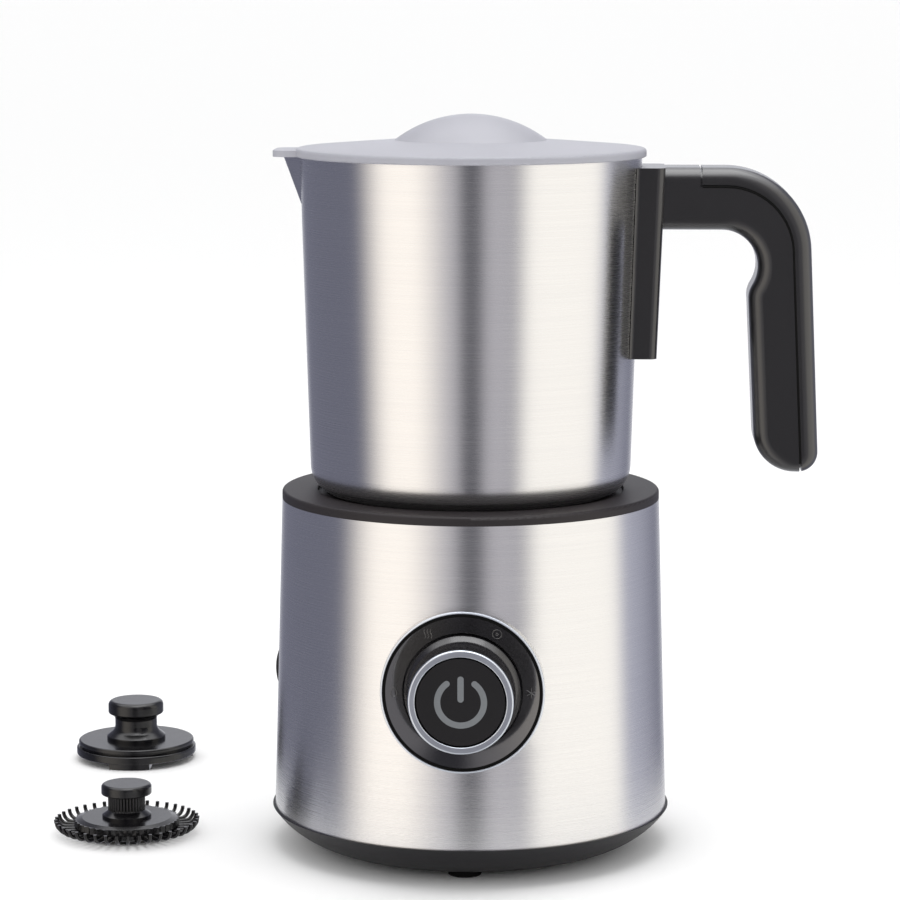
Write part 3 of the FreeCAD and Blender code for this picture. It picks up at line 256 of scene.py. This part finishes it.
def finishes():
    return {
        "brushed_steel": brushed_steel(),
        "plain_steel": turned_steel("plain_steel", 0.6, 0.22),
        "screw_steel": turned_steel("screw_steel", 0.5, 0.3),
        "base_black": moulding("base_black", 0.008, 0.013, 0.36, 1500.0, 0.00006,
                               Specular_IOR_Level=0.25),
        "cover_black": moulding("cover_black", 0.016, 0.024, 0.4, 1500.0, 0.00005, warmth=0.1,
                                Specular_IOR_Level=0.22),
        "bezel_black": moulding("bezel_black", 0.008, 0.012, 0.08, 240.0, 0.00001, Coat_Weight=1.0,
                                Coat_Roughness=0.06, Coat_IOR=1.8, Specular_IOR_Level=0.9),
        "dial_black": moulding("dial_black", 0.008, 0.013, 0.2, 1800.0, 0.00003, Coat_Weight=0.5,
                               Coat_Roughness=0.12),
        "chrome_trim": plated("chrome_trim", (0.6, 0.64, 0.7, 1), 0.26),
        "button_black": moulding("button_black", 0.006, 0.01, 0.42, 2200.0, 0.00003,
                                 Specular_IOR_Level=0.25),
        "symbol_grey": moulding("symbol_grey", 0.14, 0.19, 0.4, 900.0, 0.00002, shade=grey,
                                warmth=-0.06),
        "handle_black": moulding("handle_black", 0.006, 0.01, 0.3, 1700.0, 0.00004, Coat_Weight=0.8,
                                 Coat_Roughness=0.2, Specular_IOR_Level=0.4),
        "lid_frosted": frosted_lid(),
        "seal_silicone": clear_silicone(),
        # Set this dark partly so that the seam bead and the rim ring, which paint shadow lines,
        # show as shade.
        "rubber_black": rubber("rubber_black", 0.004),
        "whisk_black": moulding("whisk_black", 0.003, 0.005, 0.12, 300.0, 0.00002, Coat_Weight=0.15,
                                Coat_Roughness=0.1, Specular_IOR_Level=0.35),
        "magnet_nickel": plated("magnet_nickel", (0.68, 0.66, 0.62, 1), 0.16),
        "copper_wire": copper_wire(),
        "ferrite": rubber("ferrite", 0.05),
        "inner_plastic": moulding("inner_plastic", 0.05, 0.07, 0.45, 1200.0, 0.00008,
                                  shade=grey),
        "board_green": circuit_board(),
        "component_alloy": turned_steel("component_alloy", 0.75, 0.3),
        "motor_steel": turned_steel("motor_steel", 0.45, 0.35),
    }


def finish_cad_nodes(paints):
    for part in frame["record"]["subparts"]:
        node = nodes[part["node"]]
        node.data.materials.clear()
        node.data.materials.append(paints[part["material_slot"]])


# --- Repeated detail -----------------------------------------------------------------------

FINGER_COUNT = 40
FINGER_ROOT = 13.6 * MM         # from the whisk's axis
FINGER_TIP = 22.0 * MM
FINGER_BEND = 2.8 * MM
FINGER_LOW = 2.1 * MM           # finger's middle above the counter
FINGER_RISE = 2.85 * MM
FINGER_RADIUS = 0.58 * MM
FINGER_STRAIGHT = 2 * MM        # of the finger before its second point
FINGER_TAPER = 0.16
RING_PROFILE = (                # of the fingers' root ring, out and up in millimetres
    (13.1, 1.3), (14.7, 1.3), (15.3, 1.6), (15.5, 2.1), (15.5, 2.88), (13.1, 2.88),
)
RIB_COUNT = 36
RIB_CIRCLE = 5.42 * MM
RIB_RADIUS = 0.34 * MM
RIB_STATIONS = (0.2, 0.26, 0.4, 0.56, 0.64)     # shares of the knob's height
ICON_CIRCLE = 19.9 * MM
ICON_RADIUS = 0.13 * MM
ICON_STAND = 0.1                # stroke's middle in front of the ring, in stroke radii
PROBE_START = 0.01              # in front of the ring, where its surface is looked for
SPRING_TURNS = 5
SPRING_WIRE = 0.45 * MM
SPRING_STEPS = 24               # points in each turn
# The seam bead is a dark rod that paints the shadow in the groove between the handle's core and its
# cover.
SEAM_SIDE = 10.78 * MM          # bead's middle from the handle's middle plane
SEAM_RADIUS = 0.42 * MM
# The seam's line and the rim, in millimetres: out from the rim, and down from the arm's top.
RIM_RADIUS = 51.5
SEAM_START = 17.8
SEAM_DOWN = 5.6
SEAM_BEND_START = 25.1
SEAM_BEND = 20.0
SEAM_END = (48.0, 88.5)
LEVEL_HEIGHTS = (0.148, 0.168, 0.188)
LEVEL_RADIUS = 0.22 * MM
LEVEL_ANGLES = range(75, 106, 2)
# Painted shadow: a dark ring standing where the gap between the bright trim and the control's ring
# falls in shade.
SHADOW_RING_PROFILE = (              # out, and in front of the ring's face, in millimetres
    (22.35, 0.14), (22.5, 0.24), (23.0, 0.24), (23.15, 0.1), (23.0, -0.3), (22.5, -0.3),
)
TRIM_STAND = 0.35 * MM          # bright rim in front of the ring's face
LATHE_STEPS = 160
ROD_SIDES = 8
SAME_POINT = 1e-7


class Tree(Graph):
    """A Geometry Nodes tree with named inputs."""

    def __init__(self, name, **inputs):
        super().__init__(bpy.data.node_groups.new(name, "GeometryNodeTree"))
        face = self.tree.interface
        face.new_socket("Geometry", in_out="INPUT", socket_type="NodeSocketGeometry")
        self.keys = {}
        for label, kind in inputs.items():
            self.keys[label] = face.new_socket(label, in_out="INPUT", socket_type=kind).identifier
        face.new_socket("Geometry", in_out="OUTPUT", socket_type="NodeSocketGeometry")
        self.entry = self.tree.nodes.new("NodeGroupInput")

    def given(self, label):
        return Value(self, self.entry.outputs[label])

    def end(self, geometry):
        whole = self.node("GeometryNodeRealizeInstances", {}, {"Geometry": geometry})
        smooth = self.node("GeometryNodeSetShadeSmooth", {}, {"Geometry": whole})
        sockets = {"Geometry": smooth, "Material": self.given("Material")}
        painted = self.node("GeometryNodeSetMaterial", {}, sockets)
        leave = self.tree.nodes.new("NodeGroupOutput")
        self.feed(leave.inputs["Geometry"], painted)


def rods_tree():
    """Round rods along the given paths, thinner towards their ends by Taper, copied around Z."""
    tree = Tree("rods", Radius="NodeSocketFloat", Taper="NodeSocketFloat", Count="NodeSocketInt",
                Sides="NodeSocketInt", Material="NodeSocketMaterial")
    curve = tree.node("GeometryNodeMeshToCurve", {}, {"Mesh": tree.given("Geometry")})
    along = tree.node("GeometryNodeSplineParameter", {}, {}, "Factor")
    thick = 1 - along * tree.given("Taper")
    curve = tree.node("GeometryNodeSetCurveRadius", {}, {"Curve": curve, "Radius": thick})
    sockets = {"Resolution": tree.given("Sides"), "Radius": tree.given("Radius")}
    section = tree.node("GeometryNodeCurvePrimitiveCircle", {}, sockets)
    sockets = {"Curve": curve, "Profile Curve": section, "Fill Caps": True}
    rod = tree.node("GeometryNodeCurveToMesh", {}, sockets)
    points = tree.node("GeometryNodePoints", {}, {"Count": tree.given("Count")})
    index = tree.node("GeometryNodeInputIndex")
    share = index.sum("DIVIDE", index, tree.given("Count"))
    turn = tree.node("ShaderNodeCombineXYZ", {}, {"Z": share * math.tau})
    sockets = {"Points": points, "Instance": rod, "Rotation": turn}
    tree.end(tree.node("GeometryNodeInstanceOnPoints", {}, sockets))
    return tree


def paths_mesh(name, paths):
    """Loose edges along each path of points."""
    points = [point for path in paths for point in path]
    edges = []
    start = 0
    for path in paths:
        edges += [(start + step, start + step + 1) for step in range(len(path) - 1)]
        start += len(path)
    mesh = bpy.data.meshes.new(name)
    mesh.from_pydata(points, edges, [])
    return mesh


def rods(tree, name, paths, paint, place=Vector(), **sizes):
    """One piece made of rods by the rods tree, moved to its place in its mesh."""
    raw = bpy.data.objects.new(name, paths_mesh(name, paths))
    bpy.context.collection.objects.link(raw)
    maker = raw.modifiers.new("maker", "NODES")
    maker.node_group = tree.tree
    values = {"Taper": 0.0, "Count": 1, "Sides": ROD_SIDES, "Material": paint, **sizes}
    for label, value in values.items():
        maker[tree.keys[label]] = value
    made = plain_mesh(raw, name)
    made.data.transform(Matrix.Translation(place))
    return made


def plain_mesh(raw, name):
    """The evaluated shape as a plain mesh with outward faces, in place of the raw object."""
    seen = raw.evaluated_get(bpy.context.evaluated_depsgraph_get())
    mesh = bpy.data.meshes.new_from_object(seen)
    bpy.data.objects.remove(raw)
    shape = bmesh.new()
    shape.from_mesh(mesh)
    bmesh.ops.remove_doubles(shape, verts=shape.verts, dist=SAME_POINT)
    bmesh.ops.recalc_face_normals(shape, faces=shape.faces)
    shape.to_mesh(mesh)
    shape.free()
    mesh.name = name
    made = bpy.data.objects.new(name, mesh)
    bpy.context.collection.objects.link(made)
    return made


def lathe(name, profile, paint):
    """Closed ring turned about Z from an outline of (out, up) in millimetres."""
    shape = bmesh.new()
    corners = [shape.verts.new((out * MM, 0, up * MM)) for out, up in profile]
    edges = [shape.edges.new((corners[i - 1], corners[i])) for i in range(len(corners))]
    bmesh.ops.spin(shape, geom=corners + edges, cent=(0, 0, 0), axis=(0, 0, 1), angle=math.tau,
                   steps=LATHE_STEPS, use_merge=True)
    bmesh.ops.remove_doubles(shape, verts=shape.verts, dist=SAME_POINT)
    bmesh.ops.recalc_face_normals(shape, faces=shape.faces)
    mesh = bpy.data.meshes.new(name)
    shape.to_mesh(mesh)
    shape.free()
    mesh.materials.append(paint)
    made = bpy.data.objects.new(name, mesh)
    bpy.context.collection.objects.link(made)
    return made


def middle(node):
    low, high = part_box(node)
    return (Vector(low) + Vector(high)) / 2


def whisk_detail(tree, paints):
    """Bent fingers with their root ring, and rounded ribs on the frothing whisk's knob."""
    black = paints["whisk_black"]
    axis = middle("froth_fingers")
    place = Vector((axis.x, axis.y, 0))
    bend = FINGER_TIP - FINGER_BEND
    straight = (FINGER_ROOT, FINGER_ROOT + FINGER_STRAIGHT, bend)
    path = [(out, 0, FINGER_LOW) for out in straight]
    for angle in range(15, 91, 15):
        turn = math.radians(angle)
        path.append((bend + FINGER_BEND * math.sin(turn), 0,
                     FINGER_LOW + FINGER_BEND * (1 - math.cos(turn))))
    path.append((FINGER_TIP, 0, FINGER_LOW + FINGER_RISE))
    fingers = rods(tree, "bent_fingers", [path], black, place, Radius=FINGER_RADIUS,
                   Taper=FINGER_TAPER, Count=FINGER_COUNT, Sides=12)
    ring = lathe("finger_ring", RING_PROFILE, black)
    ring.data.transform(Matrix.Translation(place))
    low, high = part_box("froth_cap")
    height = high[2] - low[2]
    path = [(RIB_CIRCLE, 0, low[2] + height * share) for share in RIB_STATIONS]
    ribs = rods(tree, "knob_ribs", [path], black, place, Radius=RIB_RADIUS, Count=RIB_COUNT)
    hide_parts("froth_fingers")
    for piece in (fingers, ring, ribs):
        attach(piece, "froth_whisk")


def arc(radius, start, end, steps, centre=(0.0, 0.0)):
    """Points along an arc in millimetres, its angles in degrees."""
    points = []
    for step in range(steps + 1):
        turn = math.radians(start + (end - start) * step / steps)
        points.append((centre[0] + radius * math.cos(turn), centre[1] + radius * math.sin(turn)))
    return points


def icon_strokes():
    """Four plain signs, in millimetres: a drop, steam, a ring with a dot and a star of frost."""
    drop = [(0, 1.7), (-0.55, 0.7)] + arc(0.95, 150, 390, 12, (0, -0.4)) + [(0.55, 0.7), (0, 1.7)]
    steam = []
    for left in (-0.9, 0.0, 0.9):
        steam.append([(left + 0.25 * math.sin(step), -1.4 + step * 0.46) for step in range(7)])
    frost = []
    for turn in (math.pi / 6, math.pi / 2, 5 * math.pi / 6):
        tip = Vector((1.5 * math.cos(turn), 1.5 * math.sin(turn)))
        frost.append([tip, -tip])
    ring = [arc(1.35, 0, 360, 20), arc(0.35, 0, 360, 10)]
    return ((180, [drop]), (120, steam), (60, ring), (0, frost))


def control_detail(tree, paints):
    """Faint signs moulded on the control's ring, and a dark ring that paints the shadow gap inside
    its bright rim.
    """
    bezel = nodes["control_bezel"]
    surface = BVHTree.FromObject(bezel, bpy.context.evaluated_depsgraph_get())
    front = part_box("control_bezel")[0][1] - PROBE_START
    axis = middle("control_bezel")
    paths = []
    for angle, strokes in icon_strokes():
        turn = math.radians(angle)
        centre = axis + Vector((math.cos(turn), 0, math.sin(turn))) * ICON_CIRCLE
        for stroke in strokes:
            path = []
            for across, up in stroke:
                start = Vector((centre.x + across * MM, front, centre.z + up * MM))
                hit = surface.ray_cast(start, Vector((0, 1, 0)))[0]
                path.append(hit - Vector((0, ICON_RADIUS * ICON_STAND, 0)))
            paths.append(path)
    icons = rods(tree, "ring_icons", paths, paints["bezel_black"], Radius=ICON_RADIUS)
    # Painted shadow: a near-black rubber ring laid where the gap between trim and ring is in shade.
    shadow_ring = lathe("rim_shadow_ring", SHADOW_RING_PROFILE, paints["rubber_black"])
    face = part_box("bezel_trim")[0][1] + TRIM_STAND
    turned = Matrix.Rotation(math.pi / 2, 4, "X")
    shadow_ring.data.transform(Matrix.Translation((axis.x, face, axis.z)) @ turned)
    for piece, slot in ((icons, "bezel_black"), (shadow_ring, "rubber_black")):
        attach(piece, "base")


def press_spring(tree, paints):
    """The button's return spring, a coil of wire in place of the CAD spring."""
    low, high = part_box("button_spring")
    axis = middle("button_spring")
    radius = (high[0] - low[0]) / 2 - SPRING_WIRE
    start = low[1] + SPRING_WIRE
    length = high[1] - low[1] - 2 * SPRING_WIRE
    path = []
    for step in range(SPRING_TURNS * SPRING_STEPS + 1):
        turn = math.tau * step / SPRING_STEPS
        along = start + length * turn / (math.tau * SPRING_TURNS)
        path.append((axis.x + radius * math.cos(turn), along, axis.z + radius * math.sin(turn)))
    spring = rods(tree, "press_spring", [path], paints["plain_steel"], Radius=SPRING_WIRE)
    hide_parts("button_spring")
    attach(spring, "base")
    travel = next(joint["range_m"][1] for joint in frame["record"]["behaviour"]["joints"]
                  if joint["name"] == "button_press")
    whole = high[1] - low[1]
    (whole - travel) / whole
    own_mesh(spring)


def handle_seam_shadow(tree, paints):
    """Dark bead that paints the shadow in the seam between the handle's core and its cover, on both
    sides.
    """
    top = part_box("handle_cover")[1][2]
    line = [(SEAM_START, SEAM_DOWN)]
    line += arc(SEAM_BEND, -90, -3, 14, (SEAM_BEND_START, SEAM_DOWN + SEAM_BEND))
    line.append(SEAM_END)
    paths = []
    for side in (-SEAM_SIDE, SEAM_SIDE):
        paths.append([((RIM_RADIUS + out) * MM, side, top - down * MM) for out, down in line])
    # Painted shadow: a near-black rod laid along the seam where its groove is in shade.
    shadow_bead = rods(tree, "seam_shadow_bead", paths, paints["rubber_black"], Radius=SEAM_RADIUS)
    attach(shadow_bead, "jug")


def level_marks(tree, paints):
    """Fill marks pressed into the jug's inside, away from the handle."""
    surface = BVHTree.FromObject(nodes["jug_body"], bpy.context.evaluated_depsgraph_get())
    paths = []
    for height in LEVEL_HEIGHTS:
        path = []
        for angle in LEVEL_ANGLES:
            turn = math.radians(angle)
            way = Vector((math.cos(turn), math.sin(turn), 0))
            path.append(surface.ray_cast(Vector((0, 0, height)), way)[0])
        paths.append(path)
    marks = rods(tree, "level_marks", paths, paints["brushed_steel"], Radius=LEVEL_RADIUS)
    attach(marks, "jug")


# --- Studio --------------------------------------------------------------------------------

CAMERA_DISTANCE = 0.988
CAMERA_HEIGHT = 0.264
CAMERA_AZIMUTH = math.radians(2.2)
CAMERA_AIM = Vector((-0.0063, 0.0, 0.1213))
CAMERA_LENS = 131.0
SENSOR_WIDTH = 36.0
CLIP_START = 0.05
LIGHT_PLACE = Vector((0.1, -0.1, 1.3))
LIGHT_AIM = Vector((0, 0, 0.1))
LIGHT_SIZE = (0.9, 0.7)
LIGHT_POWER = 5.0
FLOOR_SIZE = 300.0
FLOOR_GLOSS_NEAR = 0.06         # within this radius what shines shows the whole floor,
FLOOR_GLOSS_FAR = 0.165         # and beyond this one none of it

# A softbox is its azimuth from the front, its half width and its soft edge, all in degrees,
# then its colour. The shade between them is what the steel shows as dark bands.
SHADE = (0.2, 0.205, 0.27, 1)
SOFTBOXES = (
    (105, 0, 60, (0.6, 0.61, 0.72, 1)),
    (0, 22, 20, (0.66, 0.64, 0.68, 1)),
    (-46.5, 8, 31, (1.62, 1.52, 1.4, 1)),
    (70, 24, 18, (1.52, 1.47, 1.38, 1)),
    (2.5, 3, 9, (0.1, 0.1, 0.12, 1)),
)
BACKDROP = (0.88, 0.89, 0.95, 1)        # behind, so that thin edges shine
BACKDROP_EDGES = (150, 178)             # degrees either side of the front
OVERHEAD = (2.7, 2.7, 2.75, 1)
OVERHEAD_EDGES = (0.62, 0.85)           # height of its edges on the sky, 1 straight up


def camera():
    data = bpy.data.cameras.new("camera")
    data.lens = CAMERA_LENS
    data.sensor_width = SENSOR_WIDTH
    data.clip_start = CLIP_START
    eye = Vector((math.sin(CAMERA_AZIMUTH), -math.cos(CAMERA_AZIMUTH), 0)) * CAMERA_DISTANCE
    eye.z = CAMERA_HEIGHT
    made = bpy.data.objects.new("camera", data)
    bpy.context.collection.objects.link(made)
    made.location = eye
    made.rotation_mode = "QUATERNION"
    made.rotation_quaternion = (CAMERA_AIM - eye).to_track_quat("-Z", "Y")
    bpy.context.scene.camera = made


def studio_world():
    """White to look at and for soft light, with upright softboxes for what reflects."""
    world = bpy.data.worlds.new("studio")
    world.use_nodes = True
    graph = Graph(world.node_tree)
    graph.tree.nodes.clear()
    way = graph.node("ShaderNodeTexCoord", {}, {}, "Generated")
    split = graph.node("ShaderNodeSeparateXYZ", {}, {"Vector": way})
    depth = Value(graph, split.socket.node.outputs["Y"])
    azimuth = split.sum("ARCTAN2", split, depth * -1)
    light = SHADE
    for centre, half, edge, colour in SOFTBOXES:
        away = abs(azimuth - math.radians(centre))
        mask = graph.ramp(away, math.radians(half + edge), math.radians(half))
        light = graph.blend(mask, light, colour)
    behind = graph.ramp(abs(azimuth), *(math.radians(edge) for edge in BACKDROP_EDGES))
    light = graph.blend(behind, light, BACKDROP)
    height = Value(graph, split.socket.node.outputs["Z"])
    light = graph.blend(graph.ramp(height, *OVERHEAD_EDGES), light, OVERHEAD)
    path = graph.node("ShaderNodeLightPath", {}, {}, "Is Glossy Ray")
    mirrored = graph.node("ShaderNodeBackground", {}, {"Color": light, "Strength": 1.0})
    plain = graph.node("ShaderNodeBackground", {}, {"Color": (1, 1, 1, 1), "Strength": 1.0})
    mixed = graph.node("ShaderNodeMixShader", {}, {0: path, 1: plain, 2: mirrored})
    graph.feed(graph.tree.nodes.new("ShaderNodeOutputWorld").inputs["Surface"], mixed)
    bpy.context.scene.world = world


def overhead_light():
    """Soft light from above, for the shadows on the floor."""
    data = bpy.data.lights.new("overhead", "AREA")
    data.shape = "RECTANGLE"
    data.size, data.size_y = LIGHT_SIZE
    data.energy = LIGHT_POWER
    made = bpy.data.objects.new("overhead", data)
    bpy.context.collection.objects.link(made)
    made.location = LIGHT_PLACE
    made.rotation_mode = "QUATERNION"
    made.rotation_quaternion = (LIGHT_AIM - LIGHT_PLACE).to_track_quat("-Z", "Y")


def floor():
    """White floor. Only its part near the base shows in what reflects."""
    mesh = bpy.data.meshes.new("floor")
    shape = bmesh.new()
    bmesh.ops.create_grid(shape, x_segments=1, y_segments=1, size=FLOOR_SIZE)
    shape.to_mesh(mesh)
    shape.free()
    made = bpy.data.objects.new("floor", mesh)
    bpy.context.collection.objects.link(made)
    paint = Paint("floor", Roughness=0.9, Specular_IOR_Level=0.1)
    paint.set("Base Color", grey(0.97))
    reach = paint.node("ShaderNodeVectorMath", {"operation": "LENGTH"}, {0: paint.place}, "Value")
    far = paint.ramp(reach, FLOOR_GLOSS_NEAR, FLOOR_GLOSS_FAR)
    mirrored = paint.node("ShaderNodeLightPath", {}, {}, "Is Glossy Ray")
    unseen = paint.node("ShaderNodeBsdfTransparent")
    painted = Value(paint, paint.surface.outputs["BSDF"])
    mixed = paint.node("ShaderNodeMixShader", {}, {0: far * mirrored, 1: painted, 2: unseen})
    paint.feed(paint.tree.nodes["Material Output"].inputs["Surface"], mixed)
    mesh.materials.append(paint.material)


camera()
studio_world()
overhead_light()
floor()
paints = finishes()
finish_cad_nodes(paints)
rod_maker = rods_tree()
whisk_detail(rod_maker, paints)
control_detail(rod_maker, paints)
press_spring(rod_maker, paints)
handle_seam_shadow(rod_maker, paints)
level_marks(rod_maker, paints)

bpy.context.scene.view_settings.view_transform = "Standard"
